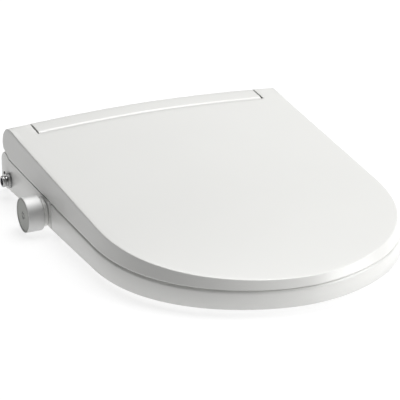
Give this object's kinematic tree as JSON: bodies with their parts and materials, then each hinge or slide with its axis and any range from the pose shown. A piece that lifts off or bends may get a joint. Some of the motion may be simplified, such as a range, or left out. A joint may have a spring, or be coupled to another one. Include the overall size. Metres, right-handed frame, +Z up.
{
  "type": "electric bidet seat",
  "caption": "Electric bidet toilet seat with crowned tapering lid, heated seat ring, rear housing, side control knob, water inlet and extending nozzle.",
  "frame": {"origin": "underside of the mounting plate, midway between its two bolt slots, in the plane of the bowl's rim", "axes": "+Z up, -Y towards the nose of the seat, +Y towards the hinges and the tank, -X the side with the knob and the water inlet"},
  "size_m": [0.4144, 0.5003, 0.0945],
  "materials": {
    "shell": "moulded gloss white",
    "inner": "moulded matte white",
    "grey": "moulded grey",
    "rubber": "black rubber",
    "pale_rubber": "pale grey rubber",
    "steel": "plain steel",
    "aluminium": "brushed aluminium",
    "cap": "satin grey metal",
    "tube": "clear silicone tube",
    "board": "circuit board",
    "gauze": "woven steel gauze"
  },
  "bodies": {
    "root": {"base_pad_left": "rubber", "base_pad_right": "rubber", "board_post_1": "grey", "board_post_2": "grey", "board_post_3": "grey", "board_post_4": "grey", "control_board": "board", "cord_gland": "rubber", "heater_tank": "inner", "hinge_cover": "shell", "hinge_pin_left": "steel", "hinge_pin_right": "steel", "housing_base": "inner", "housing_cover": "shell", "housing_screw_1": "steel", "housing_screw_2": "steel", "housing_screw_3": "steel", "housing_screw_4": "steel", "inlet_filter": "gauze", "inlet_seal": "rubber", "knob_collar": "shell", "knob_encoder": "grey", "lid_damper": "grey", "mounting_plate": "grey", "nozzle_cradle": "inner", "nozzle_hose": "tube", "nozzle_motor": "steel", "power_module": "grey", "relay": "grey", "seat_damper": "grey", "side_screw": "steel", "solenoid_valve": "inner", "tank_hose": "tube", "valve_coil": "steel", "water_inlet": "steel"},
    "seat": {"seat_ring_top": "shell", "seat_ring_bottom": "inner", "seat_heater": "grey", "seat_bumper_front_left": "pale_rubber", "seat_bumper_front_right": "pale_rubber", "seat_bumper_rear_left": "pale_rubber", "seat_bumper_rear_right": "pale_rubber"},
    "lid": {"lid": "shell", "lid_bumper_left": "pale_rubber", "lid_bumper_right": "pale_rubber"},
    "knob": {"knob_body": "aluminium", "knob_shaft": "steel"},
    "knob_button": {"knob_cap": "cap"},
    "nozzle": {"nozzle_tip": "inner", "nozzle_wand": "shell", "nozzle_rack": "inner"},
    "pinion": {"nozzle_pinion": "inner"},
    "release": {"release_button": "shell"}
  },
  "joints": [
    {"name": "seat_hinge", "type": "hinge", "parent": "root", "child": "seat", "pos_m": [0, 0.046, 0.0713], "axis": [-1, 0, 0], "range_deg": [0, 95]},
    {"name": "lid_hinge", "type": "hinge", "parent": "seat", "child": "lid", "pos_m": [0, 0.046, 0.0713], "axis": [1, 0, 0], "range_deg": [-100, 0]},
    {"name": "knob_turn", "type": "hinge", "parent": "root", "child": "knob", "pos_m": [-0.2, -0.082, 0.0228], "axis": [-1, 0, 0], "continuous": true},
    {"name": "knob_press", "type": "slide", "parent": "knob", "child": "knob_button", "axis": [1, 0, 0], "range_m": [0, 0.001], "stiffness_N_per_m": 400, "springref_m": -0.002},
    {"name": "nozzle_slide", "type": "slide", "parent": "root", "child": "nozzle", "axis": [0, -0.9613, -0.2756], "range_m": [0, 0.042]},
    {"name": "pinion_spin", "type": "hinge", "parent": "root", "child": "pinion", "pos_m": [0.0086, -0.02419, 0.04761], "axis": [1, 0, 0], "range_deg": [-405, 4]},
    {"name": "release_press", "type": "slide", "parent": "root", "child": "release", "axis": [-1, 0, 0], "range_m": [0, 0.0025], "stiffness_N_per_m": 300, "springref_m": -0.003}
  ],
  "couplings": [
    {"joint": "pinion_spin", "follows": "nozzle_slide", "rad_per_m": -166.67}
  ]
}
